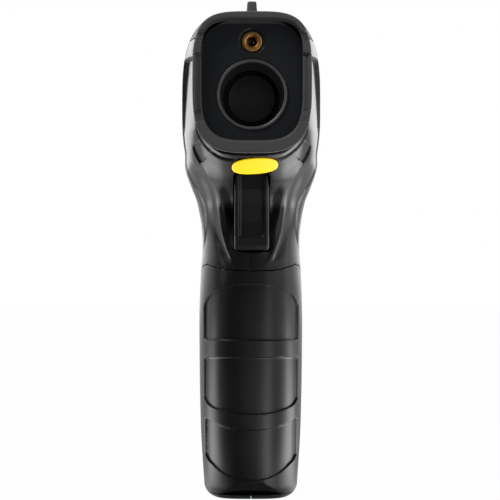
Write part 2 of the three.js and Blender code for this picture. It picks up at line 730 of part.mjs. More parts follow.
// The lower edge is rounded about the hinge so that it can turn over the base.
const roundedFoot = solid(cylinder('x', DOOR_FOOT_RADIUS, -20, 20, HINGE_CENTRE, 32));
const footZone = solid(box(-40, 40, -60, HINGE_CENTRE[0], -1, HINGE_CENTRE[1]));
door = door.subtract(footZone.subtract(roundedFoot));
const foot = roundedFoot
  .subtract(solid(cylinder('x', EAR_RADIUS + PIECE_GAP, -20, 20, HINGE_CENTRE, 32)))
  .intersect(footZone)
  .intersect(gripBody(0));
const knuckle = solid(cylinder('x', 2.4, -2.9, 2.9, HINGE_CENTRE, 24))
  .add(solid(box(-2.9, 2.9, -4.4, HINGE_CENTRE[0], HINGE_CENTRE[1] - 1.6, HINGE_CENTRE[1] + 1.6)));
door = door.add(foot).add(knuckle);
door = door.subtract(solid(cylinder('x', HINGE_PIN_RADIUS + 0.06, -9, 9, HINGE_CENTRE, 24)));
add('battery_door', door, GLOSS_BLACK, 0.28);
add(
  'door_hinge_pin',
  cylinder('x', HINGE_PIN_RADIUS, -HINGE_PIN_LENGTH / 2, HINGE_PIN_LENGTH / 2, HINGE_CENTRE, 24),
  0xb9bcc0,
  0.25,
  1,
);

// ---------------------------------------------------------------- screws and label

SCREWS.forEach((centre, i) => {
  const screw = solid(cylinder('x', SCREW_RADIUS, SCREW_HEAD_X - 0.4, SCREW_END_X, centre, 12))
    .add(solid(cylinder('x', SCREW_HEAD_RADIUS, SCREW_HEAD_X - 1.9, SCREW_HEAD_X - 0.3, centre, 16)))
    .subtract(solid(box(-SCREW_HEAD_RADIUS * 9, SCREW_HEAD_X - 1.2, centre[0] - 0.3, centre[0] + 0.3,
      centre[1] - 1.5, centre[1] + 1.5)))
    .subtract(solid(box(-SCREW_HEAD_RADIUS * 9, SCREW_HEAD_X - 1.2, centre[0] - 1.5, centre[0] + 1.5,
      centre[1] - 0.3, centre[1] + 0.3)));
  add(`shell_screw_${i + 1}`, screw, 0x8d9094, 0.35, 1);
});

const labelOutline = [];
for (let i = 0; i < 24; i += 1) {
  const angle = (2 * Math.PI * i) / 24;
  labelOutline.push([7.35 * Math.cos(angle), 4.5 * Math.sin(angle)]);
}
const labelTool = extruded(labelOutline, 8);
labelTool.translate(0, 0, -4);
labelTool.rotateZ(0.03);
labelTool.rotateX(-0.6);
labelTool.translate(0.6, -43, 109.9);
const label = solid(labelTool)
  .intersect(headBody(-0.35, 0, 0, 60).subtract(headBody(-0.1, 0, 0, 60)))
  .intersect(solid(box(-40, 40, -60, 60, 90, 118)));
add('lens_label', label, 0xffd714, 0.35);

export default part;
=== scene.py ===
import json
import math

import bmesh
import bpy
import numpy as np
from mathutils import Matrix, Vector


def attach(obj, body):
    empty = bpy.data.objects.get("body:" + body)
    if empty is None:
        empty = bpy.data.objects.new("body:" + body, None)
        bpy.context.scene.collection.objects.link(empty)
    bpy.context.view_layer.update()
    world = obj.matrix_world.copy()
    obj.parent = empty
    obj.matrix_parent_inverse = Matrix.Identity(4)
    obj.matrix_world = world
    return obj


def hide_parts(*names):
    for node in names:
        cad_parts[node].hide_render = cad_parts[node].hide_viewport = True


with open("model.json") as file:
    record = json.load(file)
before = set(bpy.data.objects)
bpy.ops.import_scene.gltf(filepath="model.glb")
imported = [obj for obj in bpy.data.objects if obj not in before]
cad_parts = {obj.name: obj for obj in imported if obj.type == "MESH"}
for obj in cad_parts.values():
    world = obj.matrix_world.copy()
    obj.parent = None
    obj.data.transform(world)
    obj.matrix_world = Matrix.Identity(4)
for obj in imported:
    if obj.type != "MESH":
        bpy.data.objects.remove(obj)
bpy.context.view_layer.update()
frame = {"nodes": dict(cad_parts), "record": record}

# ------------------------------------------------------------------ housing shells
# Two mirrored half shells of black ABS, injection moulded with walls of about 2 mm.
# They meet in the middle plane, and five self-tapping screws go in from the right.
# Sizes are in millimetres; the lens looks along -Y and the grip stands on Z = 0.
MM = 0.001
SHELL_STEP = 0.5
OBJECT_PLACE = 3
FACE_TILT = math.radians(18.1)
FACE_POINT = (42.7, 138.0)
SPLIT_GAP = 0.09
WALL = 2.0

# Head sections along Y: y, half width, lowest z, highest z, lower and upper squareness
HEAD = np.array([
    (-50, 18.3, 114.4, 157.4, 3.1, 3.8),
    (-46.5, 18.9, 112.6, 157.9, 3.2, 3.8),
    (-39, 20.1, 107.4, 158.6, 3.7, 3.7),
    (-32, 21.0, 103.8, 159.1, 3.8, 3.6),
    (-24, 21.9, 101.4, 159.6, 3.4, 3.5),
    (-14, 22.6, 100.0, 160.0, 3.1, 3.4),
    (-2, 22.9, 99.4, 160.4, 2.9, 3.4),
    (12, 22.9, 100.0, 160.7, 2.9, 3.4),
    (24, 22.7, 102.6, 160.9, 3.0, 3.5),
    (34, 22.3, 107.0, 161.0, 3.2, 3.7),
    (42, 21.8, 111.6, 161.0, 3.4, 4.0),
    (54, 21.0, 118.0, 160.6, 3.6, 4.2),
])

# Neck and grip sections along Z: z, half width, front y, rear y, squareness
GRIP = np.array([
    (-4, 15.4, -5.0, 38.0, 3.0),
    (5, 15.75, -5.4, 38.0, 3.0),
    (10, 16.1, -5.7, 37.8, 3.0),
    (20, 16.7, -6.7, 36.4, 3.0),
    (35, 17.1, -9.2, 34.6, 3.0),
    (50, 17.25, -12.4, 33.4, 3.0),
    (62, 17.25, -15.0, 32.8, 3.0),
    (71, 17.0, -16.6, 31.8, 3.0),
    (78, 16.6, -17.2, 30.2, 3.0),
    (85, 16.2, -18.2, 28.4, 2.9),
    (92, 16.7, -20.6, 27.6, 2.8),
    (98, 17.8, -24.0, 28.6, 2.7),
    (104, 19.4, -29.4, 33.0, 2.6),
    (110, 20.6, -32.0, 38.0, 2.6),
    (118, 20.6, -32.0, 38.0, 2.6),
])


def eased(knots, values, at):
    """Value at a place on the smooth curve through the knots."""
    slopes = np.gradient(values, knots)
    at = np.clip(at, knots[0], knots[-1])
    i = np.clip(np.searchsorted(knots, at, side="right") - 1, 0, len(knots) - 2)
    width = knots[i + 1] - knots[i]
    t = (at - knots[i]) / width
    rise = values[i + 1] - values[i]
    first = slopes[i] * width
    last = slopes[i + 1] * width
    square = 3 * rise - 2 * first - last
    cube = first + last - 2 * rise
    return values[i] + t * (first + t * (square + t * cube))


def section(u, v, half_u, low, high, low_power, high_power):
    """Distance from a rounded outline, squarer for a larger power."""
    half_v = (high - low) / 2
    v = v - (low + high) / 2
    power = np.where(v > 0, high_power, low_power)
    a = np.maximum(np.abs(u) / half_u, 1e-4)
    b = np.maximum(np.abs(v) / half_v, 1e-4)
    rho = (a ** power + b ** power) ** (1 / power)
    slope_u = (a / rho) ** (power - 1) / half_u
    slope_v = (b / rho) ** (power - 1) / half_v
    return (rho - 1) / np.hypot(slope_u, slope_v)


def joined(a, b, radius):
    """Union with a round fillet."""
    bridge = np.hypot(np.maximum(radius - a, 0), np.maximum(radius - b, 0))
    return np.maximum(radius, np.minimum(a, b)) - bridge


def common(a, b, radius):
    """Intersection with a rounded edge."""
    corner = np.hypot(np.maximum(radius + a, 0), np.maximum(radius + b, 0))
    return np.minimum(-radius, np.maximum(a, b)) + corner


def cut(a, b, radius=0.25):
    """a without b, with a rounded edge."""
    return common(a, -b, radius)


def ramp(value, start, end):
    """Smooth step from 0 at start to 1 at end."""
    t = np.clip((value - start) / (end - start), 0, 1)
    return t * t * (3 - 2 * t)


def block(x, y, z, low, high):
    """Distance from a box."""
    dx = np.maximum(low[0] - x, x - high[0])
    dy = np.maximum(low[1] - y, y - high[1])
    dz = np.maximum(low[2] - z, z - high[2])
    return np.maximum(np.maximum(dx, dy), dz)


def polygon(points, u, v):
    """Distance from a closed outline of straight sides."""
    points = np.array(points, float)
    nearest = np.full(np.broadcast(u, v).shape, 1e9)
    inside = np.zeros(nearest.shape, bool)
    for (u0, v0), (u1, v1) in zip(points, np.roll(points, -1, axis=0)):
        du = u1 - u0
        dv = v1 - v0
        t = np.clip(((u - u0) * du + (v - v0) * dv) / (du * du + dv * dv), 0, 1)
        nearest = np.minimum(nearest, np.hypot(u - u0 - t * du, v - v0 - t * dv))
        if dv:
            crosses = (v0 > v) != (v1 > v)
            inside ^= crosses & (u < u0 + (v - v0) * du / dv)
    return np.where(inside, -nearest, nearest)


def past_rear_face(y, z):
    """Height above the sloping rear face."""
    return (y - FACE_POINT[0]) * math.cos(FACE_TILT) + (z - FACE_POINT[1]) * math.sin(FACE_TILT)


def body(x, y, z):
    """The whole outer form: head and grip run together, before any detail."""
    stations = HEAD[:, 0]
    head = section(x, z, *(eased(stations, HEAD[:, i], y) for i in range(1, 6)))
    levels = GRIP[:, 0]
    half, front, rear, power = (eased(levels, GRIP[:, i], z) for i in range(1, 5))
    grip = section(x, y, half, front, rear, power, power)
    grip = common(grip, z - 112, 3)
    whole = joined(head, grip, 5)
    whole = common(whole, past_rear_face(y, z), 1.6)
    return common(whole, -z, 4.4)


def surface_mesh(distance, low, high, step):
    """Points and quads of the surface where distance is zero, with its sharp edges kept."""
    coarse = 6
    low = np.array(low, float)
    count = np.ceil((np.array(high, float) - low) / step / coarse).astype(int)
    centres = [low[i] + step * (coarse * np.arange(count[i]) + (coarse - 1) / 2) for i in range(3)]
    rough = distance(*np.meshgrid(*centres, indexing="ij"))
    near = np.abs(rough) < coarse * step * 1.3
    for axis in range(3):
        rough = np.repeat(rough, coarse, axis=axis)
        near = np.repeat(near, coarse, axis=axis)
    index = np.argwhere(near)
    field = rough.astype(float)
    field[near] = distance(*(low + index * step).T)

    # Cells round every grid edge that the surface crosses, and the crossing on it.
    inside = field < 0
    size = np.array(field.shape) - 1
    crossings = []
    rings = []
    for axis in range(3):
        ahead = np.eye(3, dtype=int)[axis]
        here = inside[:-1, :-1, :-1]
        there = inside[tuple(slice(ahead[i], ahead[i] + size[i]) for i in range(3))]
        edges = np.argwhere(here != there)
        second = (axis + 1) % 3
        third = (axis + 2) % 3
        edges = edges[(edges[:, second] > 0) & (edges[:, third] > 0)]
        start = field[tuple(edges.T)]
        end = field[tuple((edges + ahead).T)]
        crossings.append(low + (edges + (start / (start - end))[:, None] * ahead) * step)
        ring = []
        for back_second, back_third in ((1, 1), (0, 1), (0, 0), (1, 0)):
            cell = edges.copy()
            cell[:, second] -= back_second
            cell[:, third] -= back_third
            ring.append(np.ravel_multi_index(tuple(cell.T), tuple(size)))
        ring = np.stack(ring, axis=1)
        rings.append(np.where((start < 0)[:, None], ring, ring[:, ::-1]))
    crossings = np.concatenate(crossings)
    cells, quads = np.unique(np.concatenate(rings), return_inverse=True)
    quads = quads.reshape(-1, 4)

    nudge = 0.02
    here = distance(*crossings.T)
    slope = np.empty_like(crossings)
    for axis in range(3):
        moved = crossings.copy()
        moved[:, axis] += nudge
        slope[:, axis] = (distance(*moved.T) - here) / nudge
    steep = np.maximum(np.linalg.norm(slope, axis=1), 0.2)
    normal = slope / steep[:, None]
    crossings -= normal * np.clip(here / steep, -0.4 * step, 0.4 * step)[:, None]

    # One point per cell, where the planes through its crossings meet best.
    def gathered(values):
        return sum(np.bincount(quads[:, i], values, len(cells)) for i in range(4))

    share = gathered(np.ones(len(crossings)))
    centre = np.stack([gathered(crossings[:, i]) for i in range(3)], axis=1) / share[:, None]
    planes = np.empty((len(cells), 3, 3))
    offset = (normal * crossings).sum(axis=1)
    pull = np.empty((len(cells), 3))
    for i in range(3):
        for j in range(3):
            planes[:, i, j] = gathered(normal[:, i] * normal[:, j])
        pull[:, i] = gathered(normal[:, i] * offset)
    pull -= (planes @ centre[:, :, None])[:, :, 0]
    planes += 0.06 * np.eye(3)
    shift = np.linalg.solve(planes, pull[:, :, None])[:, :, 0]
    return centre + np.clip(shift, -0.6 * step, 0.6 * step), quads


def new_piece(name, points, faces, crease=math.radians(38)):
    """A Blender object from points in millimetres, smooth except at its creases."""
    mesh = bpy.data.meshes.new(name)
    mesh.from_pydata((np.asarray(points) * MM).tolist(), [], faces)
    mesh.validate()
    mesh.shade_smooth()
    mesh.set_sharp_from_angle(angle=crease)
    piece = bpy.data.objects.new(name, mesh)
    bpy.context.scene.collection.objects.link(piece)
    return piece


def moulded(name, distance, low, high, step):
    """A moulded piece from its distance function, meshed inside a box."""
    points, quads = surface_mesh(distance, low, high, step)
    return new_piece(name, points, quads.tolist())


# The rear half is wider and thicker, with an edge that faces forward down each side.
STEP_LINE = np.array([
    (78, 6.5), (84, -5), (88, -8), (95, -12), (103, -15.5), (108.6, -12.5), (112, -9), (117, -7),
    (121, -6.5), (123, -9.5), (132, -11), (144.5, -14), (150, -18),
])
STEP_DEPTH = np.array([
    (78, 0), (84, 0.1), (90, 0.55), (121, 0.6), (123, 0.9), (132, 1.4), (140, 1.75), (150, 1.9),
])
POCKET_EDGE = np.array([
    (80, 6.1), (82.5, 6.4), (84.9, 6.9), (91, 8.1), (95.3, 9.3), (101.6, 10.6), (104, 11.8), (108, 14.6),
])
RIB_EDGE = np.array([
    (78, 6.6), (81, 8.2), (85, 9.8), (89, 11.1), (95, 12.2), (101, 13.1), (106.6, 15.3), (110, 17.4),
])
CORNER_RECESS = (18.4, 112.7)
RECESS_SINE = 0.813
RECESS_COSINE = 0.583


def detailed_body(x, y, z):
    """The outer form with its side step, corner recesses and the hollows beside the trigger."""
    form = body(x, y, z)
    across = np.abs(x)
    edge = np.interp(z, STEP_LINE[:, 0], STEP_LINE[:, 1])
    depth = np.interp(z, STEP_DEPTH[:, 0], STEP_DEPTH[:, 1])
    ahead = ramp(edge - y, -0.5, 0.9) * ramp(144.6 + 0.35 * (across - 21) - z, -0.2, 0.25)
    form = form + depth * ahead * ramp(across, 9, 14)

    # A deep hollow for the finger each side of the trigger, a rib along it, then a crease.
    inward = eased(POCKET_EDGE[:, 0], POCKET_EDGE[:, 1], z) - across
    hollow = 2.5 * ramp(inward, -0.6, 3.4) * ramp(z, 81.8, 84) * ramp(z, 106, 100)
    outward = across - eased(RIB_EDGE[:, 0], RIB_EDGE[:, 1], z)
    crease = 0.75 * np.exp(-(np.minimum(outward, 0) / 0.55) ** 2 - (np.maximum(outward, 0) / 1.6) ** 2)
    rib = 0.35 * np.exp(-((outward + 1.5) / 0.8) ** 2)
    front = ramp(y, -6, -12)
    form = form + (hollow + (crease - rib) * ramp(z, 77.5, 82) * ramp(z, 111, 106.5)) * front

    # A shallow recess in each lower corner, deeper outwards, ending in a step that faces forward.
    du = across - CORNER_RECESS[0]
    dv = z - CORNER_RECESS[1]
    lengthwise = RECESS_SINE * du - RECESS_COSINE * dv
    crosswise = RECESS_COSINE * du + RECESS_SINE * dv
    recess = np.maximum(np.abs(crosswise) - 2.9, np.abs(lengthwise) - 5)
    recess = np.maximum(recess, y + 35.6)
    deep = 1.05 * ramp(lengthwise, -5, 1)
    form = cut(form, np.maximum(recess, -(form + deep)), 0.15)
    return form + 0.5 * np.exp(-((y + 44.3) / 0.4) ** 2) * ramp(z, 127, 123)


DOOR_EDGE = [
    (-60, 1.5), (6.4, 1.5), (7.9, 5.5), (5.9, 40), (5.9, 73.6), (0.5, 75.3), (-5.4, 77.7),
    (-10, 78.3), (-13.6, 77.5), (-17.2, 76.2), (-60, 76.2),
]
COVER_EDGE = [(-60, 149.1), (-24, 150.1), (30.2, 152.3), (33.3, 155.8), (33.3, 175), (-60, 175)]
SCREWS = [(-38.5, 113.6), (14, 149), (17.5, 97), (24, 64), (29.5, 22)]
COVERED_SCREW_Z = 113.6
SCREW_HOLE = 2.5
SCREW_BORE = 1.3
SCREW_POST = 2.9
HINGE = (-0.9, 6.2)
GILLS = 3
GILL_PITCH = 4.2
BATTERY_TILT = math.radians(10.5)
BATTERY_FOOT = (12.6, 13.8)


def battery_place(y, z):
    """Place along the battery's depth and height, which lean with the grip."""
    dy = y - BATTERY_FOOT[0]
    dz = z - BATTERY_FOOT[1]
    c = math.cos(BATTERY_TILT)
    s = math.sin(BATTERY_TILT)
    return c * dy + s * dz, c * dz - s * dy


def rounded_plate(u, v, half_u, half_v, radius):
    """Distance from a rectangle with round corners."""
    du = np.abs(u) - half_u + radius
    dv = np.abs(v) - half_v + radius
    return np.hypot(np.maximum(du, 0), np.maximum(dv, 0)) + np.minimum(np.maximum(du, dv), 0) - radius


def face_place(y, z):
    """Height above and place up the sloping rear face."""
    dy = y - FACE_POINT[0]
    dz = z - FACE_POINT[1]
    c = math.cos(FACE_TILT)
    s = math.sin(FACE_TILT)
    return c * dy + s * dz, c * dz - s * dy


def housing(x, y, z):
    """Both half shells before they are split."""
    outer = common(detailed_body(x, y, z), -46.5 - y, 0.4)
    door = np.maximum(polygon(DOOR_EDGE, y, z), -(body(x, y, z) + WALL + 0.3))
    outer = cut(outer, door, 0.18)
    cover = np.maximum(polygon(COVER_EDGE, y, z), -(body(x, y, z) + 1.8))
    outer = cut(outer, cover, 0.18)

    form = body(x, y, z)
    thick = WALL + 1.9 * ramp(z, 100, 108) + 7 * ramp(z, 73, 80) * ramp(y, 0, -9) * ramp(112 - z, 0, 3)
    inside = np.maximum(form + thick, past_rear_face(y, z) + 2.4)
    inside = np.maximum(inside, 1.5 - z)
    mouth = np.maximum(section(x, z, 17.1, 115, 155.6, 3.2, 3.8), y + 40)
    depth, height = battery_place(y, z)
    ribs = np.maximum(np.abs(depth - 10.4) - 0.8, np.maximum(-2.6 - height, height - 56))
    floor = np.maximum(np.abs(z - 11.3) - 0.7, np.minimum(8.4 - y, np.abs(x) - 9))
    ribs = np.minimum(ribs, np.maximum(floor, -2.6 - y))
    ears = np.maximum(np.abs(np.abs(x) - 4.3) - 1.1, np.hypot(y - HINGE[0], z - HINGE[1]) - 1.7)
    stems = block(np.abs(x), y, z, (3.2, -2.6, 6.2), (5.4, 0.8, 11.4))
    ribs = np.minimum(ribs, np.minimum(ears, stems))
    for screw_y, screw_z in SCREWS:
        ribs = np.minimum(ribs, np.hypot(y - screw_y, z - screw_z) - SCREW_POST)
    hollow = np.minimum(np.maximum(inside, -ribs), mouth)
    shell = np.maximum(outer, -hollow)

    shell = cut(shell, np.maximum(rounded_plate(x, z - 97.1, 6, 14.8, 2.4), y + 7.9), 0.3)
    depth, height = face_place(y, z)
    opening = np.maximum(rounded_plate(x, height, 17.8, 20.8, 4), np.abs(depth) - 6)
    shell = cut(shell, opening, 0.3)
    for i in range(GILLS):
        along = (y + 25 - GILL_PITCH * i) + 0.5 * (z - 148.6)
        slot = np.maximum(np.abs(along) - 0.8, np.abs(z - 147.6) - 1.9)
        slot = np.maximum(slot, -(form + 1.1))
        shell = cut(shell, slot, 0.2)
    return shell


def left_shell(x, y, z):
    """Half on the operator's left, with a tongue that closes the joint line."""
    shell = housing(x, y, z)
    tongue = np.maximum(np.maximum(shell, body(x, y, z) + 1.0), np.abs(x) - 0.8)
    return np.minimum(common(shell, SPLIT_GAP - x, 0.15), tongue)


def right_shell(x, y, z):
    """Half on the operator's right, with the groove for the tongue and the screw holes."""
    shell = common(housing(x, y, z), SPLIT_GAP + x, 0.15)
    shell = np.maximum(shell, np.minimum(x + 0.95, -(body(x, y, z) + 0.85)))
    for screw_y, screw_z in SCREWS:
        from_axis = np.hypot(y - screw_y, z - screw_z)
        if screw_z != COVERED_SCREW_Z:
            shell = cut(shell, np.maximum(from_axis - SCREW_HOLE, x + 9), 0.25)
        shell = np.maximum(shell, np.minimum(SCREW_BORE - from_axis, x + 11.5))
    return shell


class Value:
    """A shader socket that takes part in plain arithmetic."""

    def __init__(self, tree, socket):
        self.tree = tree
        self.socket = socket

    def maths(self, operation, *others):
        node = self.tree.nodes.new("ShaderNodeMath")
        node.operation = operation
        for place, item in zip(node.inputs, (self, *others)):
            connect(self.tree, item, place)
        return Value(self.tree, node.outputs[0])

    def __add__(self, other):
        return self.maths("ADD", other)

    __radd__ = __add__

    def __mul__(self, other):
        return self.maths("MULTIPLY", other)

    __rmul__ = __mul__

    def __sub__(self, other):
        return self.maths("SUBTRACT", other)

    def __rsub__(self, other):
        return (self * -1) + other

    def __truediv__(self, other):
        return self.maths("DIVIDE", other)

    def __rtruediv__(self, other):
        return self.maths("POWER", -1.0) * other

    def clamped(self, low=0.0, high=1.0):
        return self.maths("MAXIMUM", low).maths("MINIMUM", high)


def connect(tree, item, socket):
    """Links a Value or sets a plain number or colour."""
    if isinstance(item, Value):
        tree.links.new(item.socket, socket)
    else:
        socket.default_value = item


class Finish:
    """A node tree, of a material unless another owner is given, built one call at a time."""

    def __init__(self, name, owner=None):
        self.material = owner or bpy.data.materials.new(name)
        self.material.use_nodes = True
        self.tree = self.material.node_tree
        self.tree.nodes.clear()

    def node(self, kind, settings=None, sockets=None, output=0):
        node = self.tree.nodes.new(kind)
        for key, value in (settings or {}).items():
            setattr(node, key, value)
        for key, value in (sockets or {}).items():
            connect(self.tree, value, node.inputs[key])
        return Value(self.tree, node.outputs[output]) if node.outputs else None

    def place(self):
        return self.node("ShaderNodeTexCoord", output=OBJECT_PLACE)

    def along(self, axis):
        """Place along X, Y or Z, in metres."""
        return self.node("ShaderNodeSeparateXYZ", sockets={"Vector": self.place()}, output="XYZ".index(axis))

    def noise(self, scale, detail=3.0, roughness=0.5, stretch=None):
        where = self.place()
        if stretch:
            where = self.node("ShaderNodeMapping", sockets={"Vector": where, "Scale": stretch})
        return self.node("ShaderNodeTexNoise", sockets={
            "Vector": where, "Scale": scale, "Detail": detail, "Roughness": roughness})

    def blend(self, factor, first, second):
        """Colour between two colours or colour sockets."""
        first, second = ((*item, 1) if isinstance(item, tuple) else item for item in (first, second))
        return self.node("ShaderNodeMix", {"data_type": "RGBA"}, {0: factor, 6: first, 7: second}, output=2)

    def bump(self, height, strength, distance):
        return self.node("ShaderNodeBump", sockets={
            "Height": height, "Strength": strength, "Distance": distance})

    def surface(self, **sockets):
        """The finished material, with the sockets of its surface written with underscores."""
        named = {key.replace("_", " "): value for key, value in sockets.items()}
        shader = self.node("ShaderNodeBsdfPrincipled", sockets=named)
        self.node("ShaderNodeOutputMaterial", sockets={"Surface": shader})
        return self.material


def paint(piece, material):
    piece.data.materials.clear()
    piece.data.materials.append(material)


def polished_abs(name, tint=(0.0030, 0.0030, 0.0032), shine=0.27):
    """Black ABS from a polished mould: faint flow mottling, dust and fine rubbing marks."""
    finish = Finish(name)
    mottle = finish.noise(60, 4)
    grain = finish.noise(1400, 2)
    rubbed = finish.noise(240, 5, stretch=(1, 1, 0.18))
    colour = finish.blend(mottle, tint, tuple(2.0 * c for c in tint))
    roughness = shine + 0.07 * mottle + 0.07 * rubbed
    height = grain + 0.6 * rubbed
    return finish.surface(
        Base_Color=colour, Roughness=roughness, IOR=1.5,
        Normal=finish.bump(height, 0.09, 0.00006))


abs_black = polished_abs("black_abs")
left = moulded("left_shell_moulding", left_shell, (-1.6, -47.5, -0.6), (24, 51, 162), SHELL_STEP)
right = moulded("right_shell_moulding", right_shell, (-24, -47.5, -0.6), (0.4, 51, 162), SHELL_STEP)
for shell, node in ((left, "left_shell"), (right, "right_shell")):
    paint(shell, abs_black)
    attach(shell, "housing")
    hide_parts(node)

# ------------------------------------------------------------------ front bezel
# A dark grey hood of grained plastic round the lens panel, clipped to the front of the shells.
# Its top and bottom lips stand further forward than its sides, which are notched.
BEZEL_STEP = 0.33
SIDE_SETBACK = np.array([
    (113, 0), (123.1, 0), (123.4, 2.5), (126.6, 2.5), (126.9, 0.6), (143.9, 0.6), (144.1, 2.4),
    (144.6, 2.4), (144.8, 0.45), (148.6, 0.45), (148.8, 2.5), (150.8, 2.5), (152.2, 0), (159, 0),
])


def bezel(x, y, z):
    """Hood with notched sides, a groove in each side rail and a skirt that seats in the shells."""
    across = np.abs(x)
    outer = section(x, z, 18.8, 113.4, 157.9, 3.3, 3.8)
    setback = np.interp(z, SIDE_SETBACK[:, 0], SIDE_SETBACK[:, 1])
    groove = 2.0 * ramp(17.65 - across, -0.12, 0.12) * ramp(z, 126.5, 126.9) * ramp(z, 144.3, 143.9)
    setback = (setback + groove) * ramp(across, 12.6, 13.5)
    ring = common(outer, -50 + setback - y, 0.5)
    ring = common(ring, y + 46.8, 0.15)
    skirt = np.maximum(section(x, z, 16.8, 115.4, 155.2, 3.4, 3.8), np.abs(y + 45.6) - 1.2)
    ring = np.minimum(ring, skirt)
    closing = ramp(y, -50, -44.4)
    bottom = 117.1 + 0.5 * closing
    top = 155.8 - 1.5 * closing
    hole = section(x, z, 16.2 - 0.2 * closing, bottom, top, 3.5, 5.2)
    ring = cut(ring, hole, 0.35)
    rim = section(x, z, 16.1, 117.5, 154.5, 3.5, 5.2)
    return np.maximum(ring, -np.maximum(rim, y + 44.9))


def grained_plastic(name, tint, shade=0.55, grain_depth=0.00007):
    """Plastic from a spark-eroded mould: an even fine grain, a little polished by handling."""
    finish = Finish(name)
    grain = finish.noise(2600, 2, 0.7)
    patches = finish.noise(45, 3)
    colour = finish.blend(patches, tuple(0.88 * c for c in tint), tuple(1.12 * c for c in tint))
    return finish.surface(
        Base_Color=colour, Roughness=shade + 0.12 * patches, IOR=1.47,
        Normal=finish.bump(grain, 0.35, grain_depth))


trim_grey = grained_plastic("grained_grey_trim", (0.086, 0.086, 0.088))
bezel_piece = moulded("front_bezel_moulding", bezel, (-19.6, -50.6, 112.6), (19.6, -43.8, 158.7),
                      BEZEL_STEP)
paint(bezel_piece, trim_grey)
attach(bezel_piece, "housing")
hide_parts("front_bezel")

# ------------------------------------------------------------------ front panel
# A plate of smoked acrylic, polished on its face, laser-cut with a hole for the lens tube
# and a countersunk hole for the aiming laser.
OPTICS_Z = 132.0
LASER_Z = 148.8
PANEL_FRONT = -44.2


def front_panel(x, y, z):
    """Plate with the lens hole and the laser's countersunk hole."""
    thick = np.abs(y - PANEL_FRONT - 0.9) - 0.9
    plate = common(section(x, z, 16.7, 115.5, 155.1, 3.2, 3.8), thick, 0.15)
    plate = cut(plate, np.hypot(x, z - OPTICS_Z) - 11.4, 0.12)
    from_laser = np.hypot(x, z - LASER_Z)
    sink = from_laser - 3.45 - np.maximum(0.8 - (y - PANEL_FRONT), 0)
    return cut(plate, sink, 0.06)


smoked = Finish("smoked_acrylic")
haze = smoked.noise(90, 4)
smoked_acrylic = smoked.surface(
    Base_Color=smoked.blend(haze, (0.0230, 0.0245, 0.0285), (0.0275, 0.0295, 0.0340)),
    Roughness=0.07 + 0.05 * haze, IOR=1.49,
    Normal=smoked.bump(smoked.noise(500, 2), 0.02, 0.00003))
panel = moulded("front_panel_plate", front_panel, (-17.3, -44.8, 114.9), (17.3, -41.8, 155.7),
                0.3)
paint(panel, smoked_acrylic)
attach(panel, "housing")
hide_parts("front_panel")

# ------------------------------------------------------------------ lens tube, ring and infrared lens
# A black moulded tube, its front lip painted paler as a painted highlight, holds the lens 23 mm back.
# A turned and anodised ring keeps it there, and fine grooves in the bore stop stray reflections.
ROUND_STEPS = 120


def turned(name, profile, z):
    """Piece turned about a line along Y: the profile is a closed list of (radius, y)."""
    points = []
    faces = []
    rows = []
    for radius, y in profile:
        if radius == 0:
            rows.append([len(points)])
            points.append((0, y, z))
            continue
        rows.append(list(range(len(points), len(points) + ROUND_STEPS)))
        for i in range(ROUND_STEPS):
            angle = 2 * math.pi * i / ROUND_STEPS
            points.append((radius * math.cos(angle), y, z + radius * math.sin(angle)))
    for first, second in zip(rows, rows[1:] + rows[:1]):
        if len(first) == 1 and len(second) == 1:
            continue
        for i in range(ROUND_STEPS):
            j = (i + 1) % ROUND_STEPS
            loop = [first[i % len(first)], first[j % len(first)], second[j % len(second)],
                    second[i % len(second)]]
            faces.append(list(dict.fromkeys(loop)))
    piece = new_piece(name, points, faces, math.radians(30))
    shape = bmesh.new()
    shape.from_mesh(piece.data)
    bmesh.ops.recalc_face_normals(shape, faces=shape.faces)
    shape.to_mesh(piece.data)
    shape.free()
    return piece


BORE_RADIUS = 10.1
LIP_START = 44.4
GROOVES = 22
GROOVE_PITCH = 0.8
bore = [(BORE_RADIUS, -24.0)]
for i in range(GROOVES):
    y = -25.0 - GROOVE_PITCH * i
    bore += [(BORE_RADIUS, y + 0.35), (BORE_RADIUS + 0.12, y + 0.18), (BORE_RADIUS, y)]
tube_profile = bore + [
    (10.1, -44.3), (10.18, -44.6), (10.4, -44.86), (10.65, -44.95), (10.8, -44.95), (11.1, -44.8),
    (11.2, -44.5),
    (11.2, -41.6), (12.2, -41.6), (12.2, -40), (11.2, -40), (11.2, -14), (7.4, -14), (7.4, -17.8),
    (9.3, -17.8), (9.3, -24.0),
]
tube_coat = Finish("matt_tube_black")
tube_tone = tube_coat.noise(300, 3)
# Painted highlight: ahead of LIP_START the tube is painted pale grey, where its lip would catch the light.
lip = ((-LIP_START * MM - tube_coat.along("Y")) * 4000).clamped()
tube_plain = tube_coat.blend(tube_tone, (0.010, 0.010, 0.010), (0.014, 0.014, 0.0145))
tube_black = tube_coat.surface(
    Base_Color=tube_coat.blend(lip, tube_plain, (0.085, 0.085, 0.087)),
    # Painted light: the whole tube glows faintly, standing in for light that bounces into the bore.
    Emission_Color=tube_coat.blend(tube_tone, (0.0030, 0.0030, 0.0031), (0.0042, 0.0042, 0.0043)),
    Emission_Strength=1.0, Roughness=0.2 + 0.12 * tube_tone, IOR=1.5,
    Normal=tube_coat.bump(tube_coat.noise(2600, 2), 0.15, 0.00003))
tube = turned("lens_tube_turned", tube_profile, OPTICS_Z)
paint(tube, tube_black)
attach(tube, "housing")
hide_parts("lens_tube")

